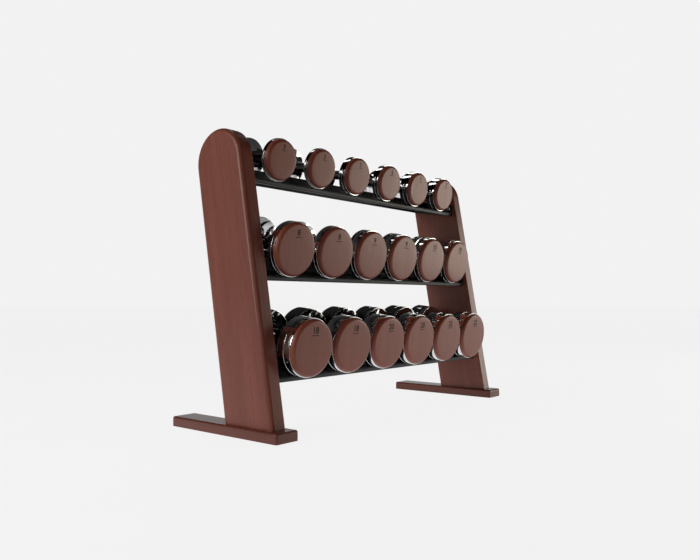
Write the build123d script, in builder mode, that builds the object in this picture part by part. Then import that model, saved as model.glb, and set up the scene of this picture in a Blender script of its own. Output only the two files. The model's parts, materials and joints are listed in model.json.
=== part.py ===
from build123d import *
from math import cos, pi, radians, sin, tan
import os

# Dumbbell rack: two leaning wooden side panels on wooden feet, three sloping steel
# trays bolted between them, and six dumbbells on each tray, in pairs of equal weight.
# +X runs along the rack, -Y is the user's side and z = 0 is the floor. The origin is
# on the floor, midway between the feet. All sizes are millimetres.

os.makedirs("parts", exist_ok=True)

# ---- Side panels and feet ----
RACK_WIDTH = 1222.0
FOOT_WIDTH = 84.0
FOOT_LENGTH = 450.0
FOOT_TOP = 31.0
PAD_HEIGHT = 2.0
PAD_RADIUS = 24.0
PAD_PITCH = 175.0
FOOT_ROUND = 7.0
PANEL_TOP = 880.0
PANEL_THICKNESS = 50.0
PANEL_SETBACK = 17.0         # from the foot's outer side to the panel's outer face
PANEL_RADIUS = 97.5          # of the round top, and half the panel's width
PANEL_TOP_Y = 38.8           # centre of the round top, front to back
PANEL_LEAN = radians(9.9)
PANEL_OUTER_ROUND = 13.0
PANEL_INNER_ROUND = 3.0
FOOT_BOLT_PITCH = 58.0

# ---- Trays ----
TRAY_SLOPES = (radians(7.5), radians(9.5), radians(9.5))    # down towards the user
TRAY_PITCH = 284.9           # from one deck to the next, in height
BOTTOM_DECK_Z = 163.0        # the deck's front edge
TRAY_SETBACK = 18.0          # from the panel's front edge back to the deck's front edge
DECK_DEPTH = 176.0
SHEET = 2.5
LIP_HEIGHT = 13.0
LIP_RETURN = 14.0
BEND_RADIUS = 3.5
END_PLATE = 4.0
END_PLATE_HEIGHT = 32.0      # above the deck
END_PLATE_MARGIN = 1.5
STOP_BACK = 128.0            # the stop rail's back face, from the deck's front edge
STOP_RISE = 0.51             # the stop rail's height, as a part of the head's radius
STOP_BASE = 22.0
STOP_SHEET = 3.0
LINER_HEIGHT = 1.0
FRONT_LINER = (1.5, 36.0)    # from the deck's front edge
REAR_LINER = (130.0, 174.0)
RIVETS_PER_TRAY = 6
RIVET_PITCH = 178.0

# ---- Fasteners ----
BOLT_RADIUS = 4.0
BOLT_HEAD_RADIUS = 7.0
BOLT_HEAD_HEIGHT = 4.5
BOLT_LENGTH = 26.0           # in the panel
SOCKET_RADIUS = 2.4
INSERT_RADIUS = 6.0
INSERT_LENGTH = 28.0
BOLT_INSET = 16.0            # from the deck's ends, and above the deck
RIVET_RADIUS = 2.0
RIVET_HEAD_RADIUS = 4.2
RIVET_HEAD_HEIGHT = 1.8
SCREW_RADIUS = 4.0
SCREW_HEAD_RADIUS = 8.0
SCREW_HEAD_HEIGHT = 5.0
SCREW_RECESS = 8.0
SCREW_LENGTH = 62.0
GAP = 0.05                   # round parts of one assembly in their holes

# ---- Dumbbells ----
PER_TRAY = 6
DUMBBELL_PITCH = 178.0
HANDLE_RADIUS = 15.0
HANDLE_LENGTH = 126.0        # clear, between the heads
GRIP_SWELL = 1.5
COLLAR_RADIUS = 18.0
COLLAR_LENGTH = 9.0
SPIGOT_RADIUS = 11.0
RIM = 1.6                    # of bright steel left round the wooden disc
RECESS = 3.0                 # for the disc, in the head's outer face
DISC_PROUD = 12.5
DISC_ROUND = 11.0
HEAD_CHAMFER = 4.0
GROOVE = 1.5
REST_GAP = 0.2               # between a head and the liner under it
STEEL = 7.85e-6              # kg per cubic millimetre
WOOD = 0.7e-6

# Each tier's name, head radius, overhang of the front heads' rims past the deck's
# front edge, and the weights in kilograms of its three pairs.
TIERS = [
    ("bottom", 85.5, 31.8, (18, 20, 22)),
    ("middle", 81.5, 12.0, (8, 9, 10)),
    ("top", 63.5, 6.0, (3, 5, 7)),
]

# ---- Worked out from the above ----
HALF_WIDTH = RACK_WIDTH / 2
FOOT_X = HALF_WIDTH - FOOT_WIDTH / 2
PANEL_OUT = HALF_WIDTH - PANEL_SETBACK
PANEL_IN = PANEL_OUT - PANEL_THICKNESS
PANEL_ARC_Z = PANEL_TOP - PANEL_RADIUS
TRAY_HALF = PANEL_IN - END_PLATE


def panel_edge(z, side):
    """Y of the panel's straight front (-1) or back (+1) edge at height z."""
    middle = PANEL_TOP_Y + (z - PANEL_ARC_Z) * tan(PANEL_LEAN)
    return middle + side * PANEL_RADIUS / cos(PANEL_LEAN)


def along(tier):
    """The direction up a tier's deck, to the back."""
    slope = TRAY_SLOPES[tier]
    return Vector(0, cos(slope), sin(slope))


def normal(tier):
    """The direction away from a tier's deck."""
    slope = TRAY_SLOPES[tier]
    return Vector(0, -sin(slope), cos(slope))


def deck_front(tier):
    """The point at mid-rack on the front edge of a tier's deck."""
    z = BOTTOM_DECK_Z + tier * TRAY_PITCH
    return Vector(0, panel_edge(z, -1) + TRAY_SETBACK, z)


def deck_point(tier, x, back, up):
    """A point given by its place along, back up and above a tier's deck."""
    return deck_front(tier) + Vector(x, 0, 0) + along(tier) * back + normal(tier) * up


def deck_section(tier, x):
    """The plane across a tier's tray at x: its x is up the deck, its y is off it."""
    return Plane(origin=deck_point(tier, x, 0, 0), x_dir=along(tier), z_dir=(1, 0, 0))


def bolt_places(x):
    """The planes of the tray bolts at x, facing the middle of the rack."""
    backs = (BOLT_INSET, DECK_DEPTH - BOLT_INSET)
    tiers = range(len(TIERS))
    points = [deck_point(tier, x, back, BOLT_INSET) for tier in tiers for back in backs]
    return [Plane(origin=point, z_dir=(-1, 0, 0)) for point in points]


def screw_places(z):
    """The planes of the right foot's screws at height z, facing down."""
    y = (panel_edge(FOOT_TOP, -1) + panel_edge(FOOT_TOP, 1)) / 2
    x = (PANEL_IN + PANEL_OUT) / 2
    steps = (-FOOT_BOLT_PITCH, 0, FOOT_BOLT_PITCH)
    return [Plane(origin=(x, y + step, z), z_dir=(0, 0, -1)) for step in steps]


# ---- Side panels: leaning boards with a round top and softened edges ----
lean = Vector(0, sin(PANEL_LEAN), cos(PANEL_LEAN))
across = Vector(0, cos(PANEL_LEAN), -sin(PANEL_LEAN))
arc_centre = Vector(0, PANEL_TOP_Y, PANEL_ARC_Z)
arc_points = [arc_centre + step * PANEL_RADIUS for step in (across * -1, lean, across)]
arc_front, arc_top, arc_back = [(point.Y, point.Z) for point in arc_points]
foot_front = (panel_edge(FOOT_TOP, -1), FOOT_TOP)
foot_back = (panel_edge(FOOT_TOP, 1), FOOT_TOP)

with BuildPart() as right_side_panel:
    with BuildSketch(Plane.YZ.offset(PANEL_IN)):
        with BuildLine():
            Line(foot_front, arc_front)
            ThreePointArc(arc_front, arc_top, arc_back)
            Line(arc_back, foot_back)
            Line(foot_back, foot_front)
        make_face()
    extrude(amount=PANEL_THICKNESS)
    outer_edges = faces().sort_by(Axis.X)[-1].edges().sort_by(Axis.Z)[1:]
    fillet(outer_edges, radius=PANEL_OUTER_ROUND)
    inner_edges = faces().sort_by(Axis.X)[0].edges().sort_by(Axis.Z)[1:]
    fillet(inner_edges, radius=PANEL_INNER_ROUND)
    with Locations(bolt_places(PANEL_IN)):
        Hole(INSERT_RADIUS + GAP, depth=INSERT_LENGTH)
    with Locations(screw_places(FOOT_TOP)):
        Hole(SCREW_RADIUS + GAP, depth=SCREW_LENGTH - FOOT_TOP + SCREW_RECESS + PAD_HEIGHT)
right_side_panel.part.label = "right_side_panel"
export_step(right_side_panel.part, "parts/right_side_panel.step")

with BuildPart() as left_side_panel:
    mirror(right_side_panel.part, about=Plane.YZ)
left_side_panel.part.label = "left_side_panel"
export_step(left_side_panel.part, "parts/left_side_panel.step")

# ---- Feet: flat bars, wider than the panels, on round pads ----
with BuildPart() as right_foot:
    with BuildSketch(Plane.XY.offset(PAD_HEIGHT)):
        with Locations((FOOT_X, 0)):
            RectangleRounded(FOOT_WIDTH, FOOT_LENGTH, FOOT_ROUND)
    extrude(amount=FOOT_TOP - PAD_HEIGHT)
    fillet(faces().sort_by(Axis.Z)[-1].edges(), radius=FOOT_ROUND - 1)
    with Locations(screw_places(PAD_HEIGHT)):
        CounterBoreHole(SCREW_RADIUS + GAP, SCREW_HEAD_RADIUS + 1, SCREW_RECESS)
right_foot.part.label = "right_foot"
export_step(right_foot.part, "parts/right_foot.step")

with BuildPart() as left_foot:
    mirror(right_foot.part, about=Plane.YZ)
left_foot.part.label = "left_foot"
export_step(left_foot.part, "parts/left_foot.step")

with BuildPart() as right_foot_pads:
    with BuildSketch(Plane.XY):
        with Locations((FOOT_X, -PAD_PITCH), (FOOT_X, PAD_PITCH)):
            Circle(PAD_RADIUS)
    extrude(amount=PAD_HEIGHT)
right_foot_pads.part.label = "right_foot_pads"
export_step(right_foot_pads.part, "parts/right_foot_pads.step")

with BuildPart() as left_foot_pads:
    mirror(right_foot_pads.part, about=Plane.YZ)
left_foot_pads.part.label = "left_foot_pads"
export_step(left_foot_pads.part, "parts/left_foot_pads.step")

# ---- Screws up through each foot into its panel ----
screw_head_z = PAD_HEIGHT + SCREW_RECESS - SCREW_HEAD_HEIGHT
with BuildPart() as foot_screws:
    with BuildSketch(*screw_places(screw_head_z)):
        Circle(SCREW_HEAD_RADIUS)
        Circle(SOCKET_RADIUS * 1.5, mode=Mode.SUBTRACT)
    extrude(amount=-SCREW_HEAD_HEIGHT / 2)
    with BuildSketch(*screw_places(screw_head_z + SCREW_HEAD_HEIGHT / 2)):
        Circle(SCREW_HEAD_RADIUS)
    extrude(amount=-SCREW_HEAD_HEIGHT / 2)
    with BuildSketch(*screw_places(screw_head_z + SCREW_HEAD_HEIGHT)):
        Circle(SCREW_RADIUS)
    extrude(amount=-SCREW_LENGTH)
    mirror(about=Plane.YZ)
foot_screws.part.label = "foot_screws"
export_step(foot_screws.part, "parts/foot_screws.step")

# ---- Tray bolts and the threaded inserts that they screw into ----
plate_face = PANEL_IN - END_PLATE
bolt_head_top = plate_face - BOLT_HEAD_HEIGHT
with BuildPart() as tray_bolts:
    with BuildSketch(*bolt_places(plate_face)):
        Circle(BOLT_HEAD_RADIUS)
    extrude(amount=BOLT_HEAD_HEIGHT)
    fillet(edges().filter_by_position(Axis.X, bolt_head_top - 1, bolt_head_top + 1), radius=2.5)
    with BuildSketch(*bolt_places(bolt_head_top)):
        RegularPolygon(SOCKET_RADIUS, 6)
    extrude(amount=-BOLT_HEAD_HEIGHT / 2, mode=Mode.SUBTRACT)
    with BuildSketch(*bolt_places(plate_face)):
        Circle(BOLT_RADIUS)
    extrude(amount=-END_PLATE - BOLT_LENGTH)
    mirror(about=Plane.YZ)
tray_bolts.part.label = "tray_bolts"
export_step(tray_bolts.part, "parts/tray_bolts.step")

with BuildPart() as tray_inserts:
    with BuildSketch(*bolt_places(PANEL_IN)):
        Circle(INSERT_RADIUS)
        Circle(BOLT_RADIUS + GAP, mode=Mode.SUBTRACT)
    extrude(amount=-INSERT_LENGTH)
    mirror(about=Plane.YZ)
tray_inserts.part.label = "tray_inserts"
export_step(tray_inserts.part, "parts/tray_inserts.step")

# ---- Trays: folded sheet, lips turned down, a stop rail riveted on the deck ----
rivet_steps = [(n - (RIVETS_PER_TRAY - 1) / 2) * RIVET_PITCH for n in range(RIVETS_PER_TRAY)]
rivet_back = STOP_BACK - STOP_SHEET - (STOP_BASE - STOP_SHEET) / 2


def rivet_places(tier, up):
    """The planes of a tray's rivets, at a height above its deck."""
    points = [deck_point(tier, x, rivet_back, up) for x in rivet_steps]
    return [Plane(origin=point, x_dir=(1, 0, 0), z_dir=normal(tier)) for point in points]


for tier, (name, head_radius, overhang, weights) in enumerate(TIERS):
    with BuildPart() as tray:
        with BuildSketch(deck_section(tier, -TRAY_HALF)):
            with BuildLine():
                FilletPolyline(
                    (LIP_RETURN, -LIP_HEIGHT),
                    (0, -LIP_HEIGHT),
                    (0, 0),
                    (DECK_DEPTH, 0),
                    (DECK_DEPTH, -LIP_HEIGHT),
                    radius=BEND_RADIUS,
                )
                offset(amount=SHEET, side=Side.RIGHT)
            make_face()
        extrude(amount=2 * TRAY_HALF)
        with Locations(rivet_places(tier, 0)):
            Hole(RIVET_RADIUS + GAP, depth=SHEET)
    tray.part.label = f"{name}_tray"
    export_step(tray.part, f"parts/{name}_tray.step")

    with BuildPart() as end_plates:
        with BuildSketch(deck_section(tier, TRAY_HALF)):
            with BuildLine():
                front, back = END_PLATE_MARGIN, DECK_DEPTH - END_PLATE_MARGIN
                FilletPolyline(
                    (front, -LIP_HEIGHT),
                    (back, -LIP_HEIGHT),
                    (back, END_PLATE_HEIGHT),
                    (front, END_PLATE_HEIGHT),
                    radius=6,
                    close=True,
                )
            make_face()
            with Locations((BOLT_INSET, BOLT_INSET), (DECK_DEPTH - BOLT_INSET, BOLT_INSET)):
                Circle(BOLT_RADIUS + GAP, mode=Mode.SUBTRACT)
        extrude(amount=END_PLATE)
        mirror(about=Plane.YZ)
    end_plates.part.label = f"{name}_tray_end_plates"
    export_step(end_plates.part, f"parts/{name}_tray_end_plates.step")

    with BuildPart() as stop_rail:
        with BuildSketch(deck_section(tier, -TRAY_HALF)):
            with BuildLine():
                FilletPolyline(
                    (STOP_BACK - STOP_BASE, 0),
                    (STOP_BACK, 0),
                    (STOP_BACK, STOP_RISE * head_radius),
                    radius=BEND_RADIUS,
                )
                offset(amount=STOP_SHEET, side=Side.LEFT)
            make_face()
        extrude(amount=2 * TRAY_HALF)
        with Locations(rivet_places(tier, STOP_SHEET)):
            Hole(RIVET_RADIUS + GAP, depth=STOP_SHEET)
    stop_rail.part.label = f"{name}_stop_rail"
    export_step(stop_rail.part, f"parts/{name}_stop_rail.step")

    with BuildPart() as liners:
        for start, end in (FRONT_LINER, REAR_LINER):
            with BuildSketch(deck_section(tier, -TRAY_HALF)):
                with Locations(((start + end) / 2, LINER_HEIGHT / 2)):
                    Rectangle(end - start, LINER_HEIGHT)
            extrude(amount=2 * TRAY_HALF)
    liners.part.label = f"{name}_tray_liners"
    export_step(liners.part, f"parts/{name}_tray_liners.step")

with BuildPart() as rivets:
    for tier in range(len(TIERS)):
        with BuildSketch(*rivet_places(tier, STOP_SHEET)):
            Circle(RIVET_HEAD_RADIUS)
        extrude(amount=RIVET_HEAD_HEIGHT, taper=25)
        with BuildSketch(*rivet_places(tier, STOP_SHEET)):
            Circle(RIVET_RADIUS)
        extrude(amount=-STOP_SHEET - SHEET)
        with BuildSketch(*rivet_places(tier, -SHEET)):
            Circle(RIVET_HEAD_RADIUS)
        extrude(amount=-RIVET_HEAD_HEIGHT, taper=25)
rivets.part.label = "stop_rail_rivets"
export_step(rivets.part, "parts/stop_rail_rivets.step")


# ---- Dumbbells: two steel heads on a handle, with a wooden disc on each end ----
def head_length(weight, radius):
    """The length of each head that brings the whole dumbbell to its weight."""
    disc = pi * radius**2 * (DISC_PROUD + RECESS) * WOOD
    handle = pi * HANDLE_RADIUS**2 * HANDLE_LENGTH * STEEL
    steel = (weight - handle - 2 * disc) / 2
    return steel / (pi * radius**2 * STEEL) + RECESS


def bore_bottom(length):
    """Where the bore for the handle's spigot ends, from the head's rim."""
    return (length + RECESS) / 2


def head_outline(length, radius):
    """Half the section of a head, from its outer rim at x = 0 to its inner face."""
    seat = radius - RIM
    bore = bore_bottom(length)
    groove = length / 2
    return [
        (RECESS, 0), (RECESS, seat), (0, seat), (0, radius - RIM / 2), (RIM / 2, radius),
        (groove - GROOVE, radius), (groove, radius - GROOVE), (groove + GROOVE, radius),
        (length - HEAD_CHAMFER, radius), (length, radius - HEAD_CHAMFER),
        (length, SPIGOT_RADIUS + GAP), (bore, SPIGOT_RADIUS + GAP), (bore, 0),
    ]


def handle_outline(length):
    """Half the section of a handle, up to where its swelled grip starts."""
    spigot_end = bore_bottom(length) + GAP
    return [
        (spigot_end, 0), (spigot_end, SPIGOT_RADIUS), (length + GAP, SPIGOT_RADIUS),
        (length + GAP, COLLAR_RADIUS), (length + COLLAR_LENGTH, COLLAR_RADIUS),
        (length + COLLAR_LENGTH, HANDLE_RADIUS - GRIP_SWELL),
    ]


for tier, (name, head_radius, overhang, weights) in enumerate(TIERS):
    for place in range(PER_TRAY):
        head = head_length(weights[place // 2], head_radius)
        grip_middle = head + HANDLE_LENGTH / 2
        x = (place - (PER_TRAY - 1) / 2) * DUMBBELL_PITCH
        height = LINER_HEIGHT + REST_GAP + head_radius
        rim_centre = deck_point(tier, x, -overhang, height)
        section = Plane(origin=rim_centre, x_dir=along(tier), z_dir=(1, 0, 0))
        grip_centre = rim_centre + along(tier) * grip_middle
        middle = Plane(origin=grip_centre, z_dir=along(tier))
        axle = Axis(rim_centre, along(tier))
        label = f"dumbbell_{name}_{place + 1}"

        with BuildPart() as steel:
            with BuildSketch(section):
                with BuildLine():
                    Polyline(*head_outline(head, head_radius), close=True)
                make_face()
                with BuildLine():
                    shank = Polyline(*handle_outline(head))
                    TangentArc((grip_middle, HANDLE_RADIUS), shank @ 1, tangent=(-1, 0))
                    Polyline((grip_middle, HANDLE_RADIUS), (grip_middle, 0), shank @ 0)
                make_face()
            revolve(axis=axle)
            mirror(about=middle)
        steel.part.label = f"{label}_steel"
        export_step(steel.part, f"parts/{label}_steel.step")

        with BuildPart() as discs:
            with BuildSketch(section):
                with Locations(((RECESS - DISC_PROUD) / 2, (head_radius - RIM - GAP) / 2)):
                    Rectangle(RECESS + DISC_PROUD, head_radius - RIM - GAP)
            revolve(axis=axle)
            face_edge = edges().filter_by(GeomType.CIRCLE).sort_by(axle)[0]
            fillet(face_edge, radius=DISC_ROUND)
            mirror(about=middle)
        discs.part.label = f"{label}_discs"
        export_step(discs.part, f"parts/{label}_discs.step")
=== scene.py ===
import json
import math

import bmesh
import bpy
from mathutils import Matrix, Vector


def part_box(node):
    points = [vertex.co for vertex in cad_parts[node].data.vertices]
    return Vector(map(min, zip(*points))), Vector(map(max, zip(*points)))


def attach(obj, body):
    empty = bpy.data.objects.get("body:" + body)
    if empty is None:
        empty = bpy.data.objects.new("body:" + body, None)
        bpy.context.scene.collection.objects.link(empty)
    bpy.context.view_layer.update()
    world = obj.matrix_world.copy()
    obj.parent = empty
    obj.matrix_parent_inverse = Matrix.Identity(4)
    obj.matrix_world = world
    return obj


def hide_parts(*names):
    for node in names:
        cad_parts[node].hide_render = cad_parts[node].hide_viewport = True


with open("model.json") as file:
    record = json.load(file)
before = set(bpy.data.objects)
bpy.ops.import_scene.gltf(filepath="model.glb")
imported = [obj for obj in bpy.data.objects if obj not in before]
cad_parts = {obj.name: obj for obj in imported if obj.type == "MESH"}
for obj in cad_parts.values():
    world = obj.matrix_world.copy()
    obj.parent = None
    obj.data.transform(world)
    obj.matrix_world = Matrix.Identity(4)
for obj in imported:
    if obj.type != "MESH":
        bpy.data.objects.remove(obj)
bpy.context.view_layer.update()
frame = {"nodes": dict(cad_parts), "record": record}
scene = bpy.context.scene

PANEL_LEAN = math.radians(9.9)
GRAIN_TILT = math.radians(9.5)      # grain, wiping marks and ribs follow the upper trays' slope

# A dumbbell's sizes in metres. Most are the CAD model's own. Its heads' edges and groove are
# coarser than HEAD_ROUND and GROOVE, and it has no knurling and no numerals.
HANDLE_RADIUS = 0.015
HANDLE_LENGTH = 0.126
GRIP_SWELL = 0.0015
COLLAR_RADIUS = 0.018
COLLAR_LENGTH = 0.009
COLLAR_HEAD_CHAMFER = 0.001
COLLAR_GRIP_CHAMFER = 0.0015
SPIGOT_RADIUS = 0.011
RIM = 0.0016
RIM_ROUND = 0.00035
RECESS = 0.003
DISC_PROUD = 0.0125
DISC_ROUND = 0.011
DISC_GAP = 0.0001                   # between the disc and the rim
DISC_BACK_RADIUS = 0.02             # the hidden back of the disc is left open inside this
HEAD_ROUND = 0.0015
GROOVE = 0.0010
GROOVE_LIFT = 0.15                  # of the groove's centre over the head, times GROOVE
KNURLED_LENGTH = 0.098
KNURL_RISE = 0.00035
KNURL_DIP = 0.00025
KNURL_END_DIP = 0.0008              # tucks the sleeve's ends under the grip's surface
NUMERAL_GAP = 0.00012               # over the disc's face

# Facets of the turned parts.
HEAD_SIDES = 160
DISC_SIDES = 128
GRIP_SIDES = 72
GRIP_STEPS = 12
KNURL_SIDES = 96
KNURL_RINGS = 98

# A numeral's height and its place above the disc's middle, times the head's radius.
NUMERAL_SIZE = 0.30
NUMERAL_UP = 0.60
# The thickening of its strokes, then the half width, top and bottom of the bar under it,
# times the numeral's height.
STROKE = 0.025
BAR = (0.52, -0.50, -0.59)

# Each tier's slope in degrees, head radius in metres and weights in kilograms.
TIERS = {
    "bottom": (7.5, 0.0855, (18, 18, 20, 20, 22, 22)),
    "middle": (9.5, 0.0815, (8, 8, 9, 9, 10, 10)),
    "top": (9.5, 0.0635, (3, 3, 5, 5, 7, 7)),
}


# ---------------------------------------------------------------- materials
NOISE_LOW, NOISE_HIGH = 0.3, 0.7                # most of a noise's values lie between them
MIX_FACTOR, MIX_A, MIX_B, MIX_RESULT = 0, 6, 7, 2       # sockets of a colour Mix node


class Mat:
    """A Principled material with a few shorthands for wiring procedural nodes."""

    def __init__(self, name, **values):
        self.m = bpy.data.materials.new(name)
        self.m.use_nodes = True
        self.t = self.m.node_tree
        self.b = self.t.nodes["Principled BSDF"]
        self.coord = self.t.nodes.new("ShaderNodeTexCoord")
        for key, value in values.items():
            self.b.inputs[key.replace("_", " ")].default_value = value

    def node(self, kind, **props):
        n = self.t.nodes.new("ShaderNode" + kind)
        for key, value in props.items():
            setattr(n, key, value)
        return n

    def link(self, a, b):
        self.t.links.new(a, b)

    def space(self, rotation=(0, 0, 0), size=(1, 1, 1)):
        """Object coordinates turned into a grain's own frame, with features of this size."""
        n = self.node("Mapping", vector_type="TEXTURE")
        n.inputs["Rotation"].default_value = rotation
        n.inputs["Scale"].default_value = size
        self.link(self.coord.outputs["Object"], n.inputs["Vector"])
        return n.outputs["Vector"]

    def noise(self, vector, detail=3.0, rough=0.5, distortion=0.0):
        n = self.node("TexNoise")
        self.link(vector, n.inputs["Vector"])
        n.inputs["Scale"].default_value = 1.0
        n.inputs["Detail"].default_value = detail
        n.inputs["Roughness"].default_value = rough
        n.inputs["Distortion"].default_value = distortion
        return n.outputs["Fac"]

    def ramp(self, source, *stops):
        n = self.node("ValToRGB")
        self.link(source, n.inputs["Fac"])
        for element, (place, colour) in zip(n.color_ramp.elements, stops):
            rgb = colour if isinstance(colour, tuple) else (colour, colour, colour)
            element.position = place
            element.color = (*rgb, 1)
        return n.outputs["Color"]

    def tint(self, noise, low, high):
        """One colour fading into another with a noise."""
        return self.ramp(noise, (NOISE_LOW, low), (NOISE_HIGH, high))

    def mix(self, factor, a, b):
        n = self.node("Mix", data_type="RGBA")
        for value, socket in ((factor, MIX_FACTOR), (a, MIX_A), (b, MIX_B)):
            if isinstance(value, bpy.types.NodeSocket):
                self.link(value, n.inputs[socket])
            elif isinstance(value, tuple):
                n.inputs[socket].default_value = (*value, 1)
            else:
                n.inputs[socket].default_value = value
        return n.outputs[MIX_RESULT]

    def spread(self, source, low, high, start=NOISE_LOW, end=NOISE_HIGH):
        """A value that goes from low to high while the source goes from start to end."""
        n = self.node("MapRange")
        self.link(source, n.inputs["Value"])
        n.inputs["From Min"].default_value = start
        n.inputs["From Max"].default_value = end
        n.inputs["To Min"].default_value = low
        n.inputs["To Max"].default_value = high
        return n.outputs["Result"]

    def along(self, heading):
        """How far a point lies along a heading, from the origin."""
        n = self.node("VectorMath", operation="DOT_PRODUCT")
        self.link(self.coord.outputs["Object"], n.inputs[0])
        n.inputs[1].default_value = heading
        return n.outputs["Value"]

    def bump(self, height, strength, distance):
        n = self.node("Bump")
        n.inputs["Strength"].default_value = strength
        n.inputs["Distance"].default_value = distance
        self.link(height, n.inputs["Height"])
        return n.outputs["Normal"]

    def set(self, key, source):
        self.link(source, self.b.inputs[key])


def wood(name, rotation, dark, mid, light):
    """Stained, open-pored timber under satin lacquer, its grain along the rotated z."""
    w = Mat(name, Coat_Weight=0.8, Coat_IOR=1.18, Coat_Roughness=0.22, IOR=1.37)
    tone_space = w.space(rotation, (0.05, 0.05, 0.7))
    band_space = w.space(rotation, (0.009, 0.009, 0.32))
    pore_space = w.space(rotation, (0.0016, 0.0016, 0.032))
    fine_space = w.space(rotation, (0.0005, 0.0005, 0.012))
    tone = w.noise(tone_space, detail=4.0, distortion=0.6)
    bands = w.noise(band_space, detail=5.0, rough=0.6, distortion=0.4)
    pores = w.noise(pore_space, detail=3.0, rough=0.65)
    fine = w.noise(fine_space, detail=2.0)
    base = w.mix(w.ramp(tone, (0.30, 0.0), (0.70, 1.0)), mid, light)
    streak = w.mix(w.ramp(bands, (0.34, 0.26), (0.60, 0.0)), base, dark)
    pore_mask = w.ramp(pores, (0.38, 0.34), (0.52, 0.0))
    w.set("Base Color", w.mix(pore_mask, streak, dark))
    w.set("Roughness", w.spread(bands, 0.36, 0.50))
    w.set("Normal", w.bump(w.mix(0.35, pores, fine), 0.30, 0.0004))
    return w.m


def chrome(name):
    """Mirror chrome with faint polishing haze and turning marks."""
    c = Mat(name, Metallic=1.0)
    bright = (0.80, 0.80, 0.81)
    hazy = tuple(v * 0.94 for v in bright)
    haze = c.noise(c.space(size=(0.03, 0.03, 0.03)), detail=4.0)
    wipe = c.noise(c.space((GRAIN_TILT, 0, 0), (0.02, 0.0012, 0.02)), detail=2.0)
    c.set("Base Color", c.tint(haze, hazy, bright))
    c.set("Roughness", c.spread(c.mix(0.5, haze, wipe), 0.025, 0.06, 0.35, 0.65))
    return c.m


def knurled(name):
    """Steel grip, dark and matt from its fine crossed knurling."""
    k = Mat(name, Metallic=1.0)
    grime = k.noise(k.space(size=(0.012, 0.012, 0.012)), detail=5.0)
    k.set("Base Color", k.tint(grime, (0.08, 0.08, 0.082), (0.13, 0.13, 0.133)))
    k.set("Roughness", k.spread(grime, 0.28, 0.42))
    return k.m


def powder(name):
    """Black powder coat with fine orange peel and a faintly cloudy gloss."""
    p = Mat(name, Specular_IOR_Level=0.34)
    grain = p.noise(p.space(size=(0.0011, 0.0011, 0.0011)), detail=3.0)
    cloud = p.noise(p.space(size=(0.12, 0.12, 0.12)), detail=4.0)
    p.set("Base Color", p.tint(cloud, (0.008, 0.008, 0.0085), (0.014, 0.014, 0.015)))
    p.set("Roughness", p.spread(cloud, 0.40, 0.52))
    p.set("Normal", p.bump(grain, 0.35, 0.0003))
    return p.m


def rubber(name):
    """Matt black rubber with fine ribs that run along the tray."""
    r = Mat(name)
    dust = r.noise(r.space(size=(0.03, 0.03, 0.03)), detail=5.0)
    wave = r.node("TexWave", wave_type="BANDS", bands_direction="Y")
    wave.inputs["Scale"].default_value = 0.32
    r.link(r.space((GRAIN_TILT, 0, 0), (0.001, 0.001, 0.001)), wave.inputs["Vector"])
    r.set("Base Color", r.ramp(dust, (0.3, 0.012), (0.75, 0.03)))
    r.set("Roughness", r.spread(dust, 0.62, 0.82))
    r.set("Normal", r.bump(wave.outputs["Fac"], 0.4, 0.0006))
    return r.m


def metal(name, low, high, rough):
    """A small machined part with a little staining."""
    m = Mat(name, Metallic=1.0)
    stain = m.noise(m.space(size=(0.004, 0.004, 0.004)), detail=4.0)
    m.set("Base Color", m.tint(stain, low, high))
    m.set("Roughness", m.spread(stain, *rough))
    return m.m


def ink(name):
    """The burnt-in weight numerals."""
    i = Mat(name, Specular_IOR_Level=0.15)
    char = i.noise(i.space(size=(0.002, 0.002, 0.002)), detail=4.0)
    i.set("Base Color", i.tint(char, (0.008, 0.004, 0.003), (0.020, 0.009, 0.007)))
    i.set("Roughness", i.spread(char, 0.5, 0.7))
    return i.m


# Each board's grain direction, then its dark, middle and light stain. The feet's colours are
# the panels' wood made darker as painted shade.
panel_wood = wood(
    "panel_wood", (-PANEL_LEAN, 0, 0),
    (0.070, 0.017, 0.011), (0.165, 0.041, 0.025), (0.200, 0.053, 0.033),
)
# Painted shade: the feet get a darker copy of the panels' wood, standing in for the weaker
# light low down by the floor.
shaded_foot_wood = wood(
    "shaded_foot_wood", (math.pi / 2, 0, 0),
    (0.052, 0.012, 0.008), (0.112, 0.026, 0.016), (0.140, 0.035, 0.022),
)
disc_wood = wood(
    "disc_wood", (GRAIN_TILT, 0, 0),
    (0.120, 0.030, 0.016), (0.206, 0.051, 0.028), (0.240, 0.062, 0.034),
)
chrome_steel = chrome("polished_chrome")
grip_steel = knurled("knurled_steel")
handle_steel = metal("handle_steel", (0.07, 0.07, 0.072), (0.11, 0.11, 0.113), (0.16, 0.26))
tray_paint = powder("black_powder_coat")
liner_rubber = rubber("ribbed_rubber")
pad_rubber = rubber("pad_rubber")
insert_brass = metal("insert_brass", (0.48, 0.33, 0.12), (0.66, 0.48, 0.20), (0.25, 0.4))
bolt_chrome = metal("bolt_chrome", (0.70, 0.70, 0.71), (0.84, 0.84, 0.85), (0.06, 0.16))
rivet_black = metal("rivet_black", (0.02, 0.02, 0.02), (0.05, 0.05, 0.05), (0.35, 0.5))
screw_zinc = metal("screw_zinc", (0.42, 0.42, 0.43), (0.58, 0.58, 0.56), (0.25, 0.4))
numeral_ink = ink("numeral_ink")

BY_SLOT = {
    "frame_wood": panel_wood,
    "disc_wood": disc_wood,
    "polished_steel": chrome_steel,
    "tray_paint": tray_paint,
    "liner_rubber": liner_rubber,
    "pad_rubber": pad_rubber,
    "bolt_chrome": bolt_chrome,
    "insert_brass": insert_brass,
    "rivet_aluminium": rivet_black,
    "screw_steel": screw_zinc,
}


def paint(obj, material):
    if not obj.material_slots:
        obj.data.materials.append(material)
    for s in obj.material_slots:
        s.link = "OBJECT"
        s.material = material


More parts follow.
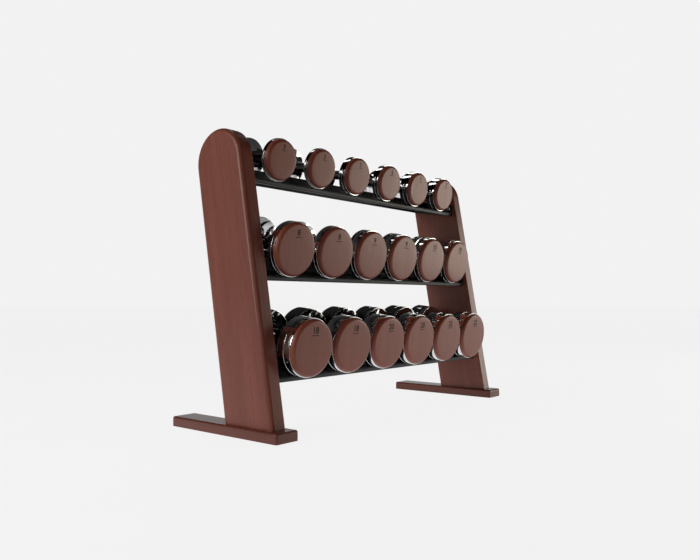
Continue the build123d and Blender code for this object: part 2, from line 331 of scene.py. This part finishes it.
for entry in frame["record"]["subparts"]:
    node = frame["nodes"][entry["node"]]
    paint(node, BY_SLOT[entry["material_slot"]])
for side in ("left", "right"):
    paint(frame["nodes"][f"{side}_foot"], shaded_foot_wood)


# ---------------------------------------------------------------- dumbbells
def piece(name, mesh, material, body):
    obj = bpy.data.objects.new(name, mesh)
    scene.collection.objects.link(obj)
    paint(obj, material)
    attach(obj, body)
    return obj


def arc(cx, cr, radius, start, end, steps):
    """Points of an arc in a (length, radius) profile, angles in degrees."""
    points = []
    for i in range(steps + 1):
        a = math.radians(start + (end - start) * i / steps)
        points.append((cx + radius * math.cos(a), cr + radius * math.sin(a)))
    return points


def lathe(bm, profile, sides):
    """Turns a profile of (length, radius) points about local y."""
    rings = []
    for x, r in profile:
        if r == 0:
            rings.append([bm.verts.new((0, x, 0))])
            continue
        ring = []
        for k in range(sides):
            a = 2 * math.pi * k / sides
            ring.append(bm.verts.new((r * math.cos(a), x, r * math.sin(a))))
        rings.append(ring)
    for a, b in zip(rings, rings[1:]):
        for k in range(sides):
            n = (k + 1) % sides
            if len(b) == 1:
                bm.faces.new([a[k], a[n], b[0]])
            else:
                bm.faces.new([a[k], a[n], b[n], b[k]])


def add_turned(bm, profile, sides, place):
    """Adds a turned part to a mesh, placed by a matrix."""
    part = bmesh.new()
    lathe(part, profile, sides)
    part.transform(place)
    mesh = bpy.data.meshes.new("part")
    part.to_mesh(mesh)
    part.free()
    bm.from_mesh(mesh)
    bpy.data.meshes.remove(mesh)


def finish_mesh(bm, name, place, angle=35):
    """Turns the local mesh into the row frame, with edges over this angle kept sharp."""
    bm.normal_update()
    bmesh.ops.recalc_face_normals(bm, faces=bm.faces)
    bm.transform(place)
    mesh = bpy.data.meshes.new(name)
    bm.to_mesh(mesh)
    bm.free()
    for polygon in mesh.polygons:
        polygon.use_smooth = True
    mesh.set_sharp_from_angle(angle=math.radians(angle))
    return mesh


def head_profile(length, radius):
    """From the seat behind the disc, over the rim, to the collar's edge."""
    groove = length / 2
    points = [(RECESS, radius - RIM), (0, radius - RIM), (0, radius - RIM_ROUND)]
    points += arc(RIM_ROUND, radius - RIM_ROUND, RIM_ROUND, 170, 90, 4)
    points += [(groove - GROOVE, radius)]
    points += arc(groove, radius + GROOVE * GROOVE_LIFT, GROOVE, 187, 353, 10)
    points += [(groove + GROOVE, radius), (length - HEAD_ROUND, radius)]
    points += arc(length - HEAD_ROUND, radius - HEAD_ROUND, HEAD_ROUND, 80, 10, 6)
    points += [(length, radius - HEAD_ROUND), (length, SPIGOT_RADIUS)]
    return points


def disc_profile(radius):
    """The wooden disc, from its seat to the middle of its face."""
    edge = radius - RIM - DISC_GAP
    points = [(RECESS, DISC_BACK_RADIUS), (RECESS, edge), (-DISC_PROUD + DISC_ROUND, edge)]
    points += arc(-DISC_PROUD + DISC_ROUND, edge - DISC_ROUND, DISC_ROUND, 90, 180, 14)
    points += [(-DISC_PROUD, edge * 0.5), (-DISC_PROUD, 0)]
    return points


def grip_profile():
    """Half the handle from its collar to the middle, swelled like a barrel."""
    start = COLLAR_LENGTH
    middle = HANDLE_LENGTH / 2
    points = [
        (0, SPIGOT_RADIUS),
        (0, COLLAR_RADIUS - COLLAR_HEAD_CHAMFER),
        (COLLAR_HEAD_CHAMFER, COLLAR_RADIUS),
        (start - COLLAR_GRIP_CHAMFER, COLLAR_RADIUS),
        (start, COLLAR_RADIUS - COLLAR_GRIP_CHAMFER),
        (start, HANDLE_RADIUS - GRIP_SWELL),
    ]
    for i in range(1, GRIP_STEPS + 1):
        t = i / GRIP_STEPS
        x = start + (middle - start) * t
        points.append((x, HANDLE_RADIUS - GRIP_SWELL * (1 - t) ** 2))
    return points


def knurl(bm):
    """A sleeve of raised diamonds round the grip."""
    grid = []
    for j in range(KNURL_RINGS + 1):
        t = j / KNURL_RINGS
        x = -KNURLED_LENGTH / 2 + KNURLED_LENGTH * t
        u = abs(2 * t - 1)
        base = HANDLE_RADIUS - GRIP_SWELL * u**2
        row = []
        for k in range(KNURL_SIDES):
            a = 2 * math.pi * k / KNURL_SIDES
            up = KNURL_RISE if (j + k) % 2 == 0 else -KNURL_DIP
            r = base + (up if 0 < j < KNURL_RINGS else -KNURL_END_DIP)
            row.append(bm.verts.new((r * math.cos(a), x, r * math.sin(a))))
        grid.append(row)
    for a, b in zip(grid, grid[1:]):
        for k in range(KNURL_SIDES):
            n = (k + 1) % KNURL_SIDES
            bm.faces.new([a[k], a[n], b[n], b[k]])


def numeral(name, text, size, place, body):
    """A small weight numeral with a short bar beneath it, burnt into a disc's face."""
    curve = bpy.data.curves.new(name, "FONT")
    curve.body = text
    curve.size = size
    curve.offset = STROKE * size
    curve.align_x = "CENTER"
    curve.align_y = "CENTER"
    curve.resolution_u = 4
    obj = bpy.data.objects.new(name + "_text", curve)
    scene.collection.objects.link(obj)
    graph = bpy.context.evaluated_depsgraph_get()
    flat = bpy.data.meshes.new_from_object(obj.evaluated_get(graph))
    bpy.data.objects.remove(obj)
    bm = bmesh.new()
    bm.from_mesh(flat)
    half, top, low = (v * size for v in BAR)
    bar = [(-half, low), (half, low), (half, top), (-half, top)]
    bm.faces.new([bm.verts.new((x, y, 0)) for x, y in bar])
    bm.transform(place)
    bm.to_mesh(flat)
    bm.free()
    flat.name = name
    piece(name, flat, numeral_ink, body)


def frame_from(x, y, z, centre):
    """A matrix with these axes and this centre."""
    m = Matrix((x, y, z)).transposed().to_4x4()
    m.translation = centre
    return m


def frame_at(centre, outward, up):
    """A matrix whose y is along the handle, outward, and whose z is up."""
    y = outward.normalized()
    z = up.normalized()
    return frame_from(y.cross(z), y, z, centre)


for tier, (degrees, radius, weights) in TIERS.items():
    slope = math.radians(degrees)
    along = Vector((0, math.cos(slope), math.sin(slope)))
    normal = Vector((0, -math.sin(slope), math.cos(slope)))
    for number, weight in enumerate(weights, 1):
        body = f"dumbbell_{tier}_{number}"
        steel_lo, steel_hi = (Vector(v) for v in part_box(body + "_steel"))
        middle = (steel_lo + steel_hi) / 2
        # The sloping dumbbell's length, from its box, gives the length of its two heads.
        reach = (steel_hi.y - steel_lo.y) - 2 * radius * math.sin(slope)
        head = (reach / math.cos(slope) - HANDLE_LENGTH) / 2
        heads, discs, grip, sleeve = bmesh.new(), bmesh.new(), bmesh.new(), bmesh.new()
        for sign in (-1, 1):
            inward = along * -sign
            head_end = frame_at(along * (sign * (head + HANDLE_LENGTH / 2)), inward, normal)
            handle_end = frame_at(along * (sign * HANDLE_LENGTH / 2), inward, normal)
            add_turned(heads, head_profile(head, radius), HEAD_SIDES, head_end)
            add_turned(discs, disc_profile(radius), DISC_SIDES, head_end)
            add_turned(grip, grip_profile(), GRIP_SIDES, handle_end)
        knurl(sleeve)
        sleeve.transform(frame_at(Vector(), along, normal))
        at = Matrix.Translation(middle)
        heads_mesh = finish_mesh(heads, f"{body}_heads", at)
        handle_mesh = finish_mesh(grip, f"{body}_handle", at)
        knurling_mesh = finish_mesh(sleeve, f"{body}_knurling", at, 180)
        faces_mesh = finish_mesh(discs, f"{body}_faces", at)
        steel = piece(f"{body}_heads", heads_mesh, chrome_steel, body)
        piece(f"{body}_handle", handle_mesh, handle_steel, body)
        piece(f"{body}_knurling", knurling_mesh, grip_steel, body)
        face = piece(f"{body}_faces", faces_mesh, disc_wood, body)
        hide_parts(body + "_steel")
        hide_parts(body + "_discs")
        face_out = HANDLE_LENGTH / 2 + head + DISC_PROUD + NUMERAL_GAP
        for sign, end in ((-1, "front"), (1, "back")):
            outward = along * sign
            centre = middle + outward * face_out + normal * radius * NUMERAL_UP
            on_face = frame_from(normal.cross(outward), normal, outward, centre)
            name = f"{body}_numeral_{end}"
            numeral(name, str(weight), NUMERAL_SIZE * radius, on_face, body)


# ---------------------------------------------------------------- studio
BACKDROP = 0.888                    # grey of the background, as the camera sees it
PAPER = 0.862                       # and of the floor
ROOM_HEADING = (0.77, 0.64, 0)      # the white room brightens this way
DARK_HEADING = (0.5, -0.87, 0)      # and its floor darkens this way
FLOOR_HALF = 40                     # half the floor's side, in metres
FLOOR_DROP = 0.0002                 # keeps the floor clear of the pads
FLOAT_A, FLOAT_B = 2, 3             # sockets of a value Mix node


def area(name, place, target, size, power, colour=(1, 1, 1)):
    lamp = bpy.data.lights.new(name, "AREA")
    lamp.shape = "RECTANGLE"
    lamp.size, lamp.size_y = size
    lamp.energy = power
    lamp.color = colour
    obj = bpy.data.objects.new(name, lamp)
    obj.location = place
    aim = Vector(target) - Vector(place)
    obj.rotation_euler = aim.to_track_quat("-Z", "Y").to_euler()
    scene.collection.objects.link(obj)


def grey_stops(ramp, *stops):
    """Sets a colour ramp's two stops to greys."""
    for element, (place, grey) in zip(ramp.color_ramp.elements, stops):
        element.position = place
        element.color = (grey, grey, grey, 1)


# Place, target, size in metres, power in watts, colour.
area("left_softbox", (-3.3, 0.7, 1.5), (-0.5, 0, 0.55), (1.8, 2.0), 65, (1, 0.98, 0.94))
area("fill_softbox", (-2.6, -2.0, 1.0), (0.4, 0, 0.45), (1.2, 1.2), 8, (1, 0.95, 0.90))
area("high_softbox", (1.05, 0.62, 2.0), (0.32, -0.05, 0.84), (0.34, 0.7), 1.4)
area("rear_softbox", (0.05, 0.62, 2.15), (0.30, -0.05, 0.84), (0.34, 0.5), 1.1)
area("right_softbox", (2.9, -1.9, 0.8), (0.4, -0.1, 0.5), (1.5, 1.5), 30, (1, 0.97, 0.82))

# The room that lights the rack: bright low down and on one side, dark above. The camera
# sees a plain backdrop instead.
world = bpy.data.worlds.new("studio")
scene.world = world
world.use_nodes = True
wt = world.node_tree
wt.nodes.clear()
surface = wt.nodes.new("ShaderNodeOutputWorld")
seen = wt.nodes.new("ShaderNodeBackground")
seen.inputs["Color"].default_value = (BACKDROP, BACKDROP, BACKDROP, 1)
room = wt.nodes.new("ShaderNodeBackground")
sky = wt.nodes.new("ShaderNodeTexCoord")
split = wt.nodes.new("ShaderNodeSeparateXYZ")
low_down = wt.nodes.new("ShaderNodeValToRGB")
grey_stops(low_down, (0.19, 0.85), (0.25, 0.012))
heading = wt.nodes.new("ShaderNodeVectorMath")
heading.operation = "DOT_PRODUCT"
heading.inputs[1].default_value = ROOM_HEADING
one_side = wt.nodes.new("ShaderNodeValToRGB")
grey_stops(one_side, (0.1, 0.05), (0.5, 1.0))
cove = wt.nodes.new("ShaderNodeMix")
cove.data_type = "RGBA"
cove.blend_type = "MULTIPLY"
cove.inputs[MIX_FACTOR].default_value = 1
path = wt.nodes.new("ShaderNodeLightPath")
pick = wt.nodes.new("ShaderNodeMixShader")
wt.links.new(sky.outputs["Generated"], split.inputs["Vector"])
wt.links.new(sky.outputs["Generated"], heading.inputs[0])
wt.links.new(split.outputs["Z"], low_down.inputs["Fac"])
wt.links.new(heading.outputs["Value"], one_side.inputs["Fac"])
wt.links.new(low_down.outputs["Color"], cove.inputs[MIX_A])
wt.links.new(one_side.outputs["Color"], cove.inputs[MIX_B])
wt.links.new(cove.outputs[MIX_RESULT], room.inputs["Color"])
wt.links.new(path.outputs["Is Camera Ray"], pick.inputs["Fac"])
wt.links.new(room.outputs["Background"], pick.inputs[1])
wt.links.new(seen.outputs["Background"], pick.inputs[2])
wt.links.new(pick.outputs["Shader"], surface.inputs["Surface"])

# The floor glows evenly for the camera, and like the room for everything else.
floor_mesh = bpy.data.meshes.new("floor")
floor_grid = bmesh.new()
bmesh.ops.create_grid(floor_grid, x_segments=8, y_segments=8, size=FLOOR_HALF)
floor_grid.to_mesh(floor_mesh)
floor_grid.free()
floor = bpy.data.objects.new("floor", floor_mesh)
floor.location.z = -FLOOR_DROP
scene.collection.objects.link(floor)
floor_paint = Mat("floor_paper", Roughness=0.9, Specular_IOR_Level=0.1)
speck = floor_paint.noise(floor_paint.space(size=(0.4, 0.4, 0.4)), detail=2.0)
floor_paint.set("Base Color", floor_paint.ramp(speck, (0.2, 0.045), (0.8, 0.055)))
floor_paint.b.inputs["Emission Color"].default_value = (1, 1, 1, 1)
lit = floor_paint.spread(floor_paint.along(ROOM_HEADING), 0.12, PAPER, -1.3, -0.5)
fading = floor_paint.spread(floor_paint.along(DARK_HEADING), 1.0, 0.35, 2.5, 6.0)
glow = floor_paint.node("Math", operation="MULTIPLY")
floor_paint.link(lit, glow.inputs[0])
floor_paint.link(fading, glow.inputs[1])
floor_seen = floor_paint.node("LightPath")
strength = floor_paint.node("Mix", data_type="FLOAT")
floor_paint.link(floor_seen.outputs["Is Camera Ray"], strength.inputs[MIX_FACTOR])
floor_paint.link(glow.outputs[0], strength.inputs[FLOAT_A])
strength.inputs[FLOAT_B].default_value = PAPER
floor_paint.set("Emission Strength", strength.outputs[0])
paint(floor, floor_paint.m)

# ---------------------------------------------------------------- camera
lens = bpy.data.cameras.new("camera")
lens.sensor_width = 36
lens.lens = 35.5
camera = bpy.data.objects.new("camera", lens)
camera.location = (-1.8722, -1.5323, 0.3784)
yaw, pitch, roll = math.radians(-50.05), math.radians(1.716), math.radians(-0.09)
turn = (
    Matrix.Rotation(yaw, 4, "Z")
    @ Matrix.Rotation(math.pi / 2 + pitch, 4, "X")
    @ Matrix.Rotation(roll, 4, "Z")
)
camera.rotation_euler = turn.to_euler()
scene.collection.objects.link(camera)
scene.camera = camera
scene.view_settings.view_transform = "Standard"
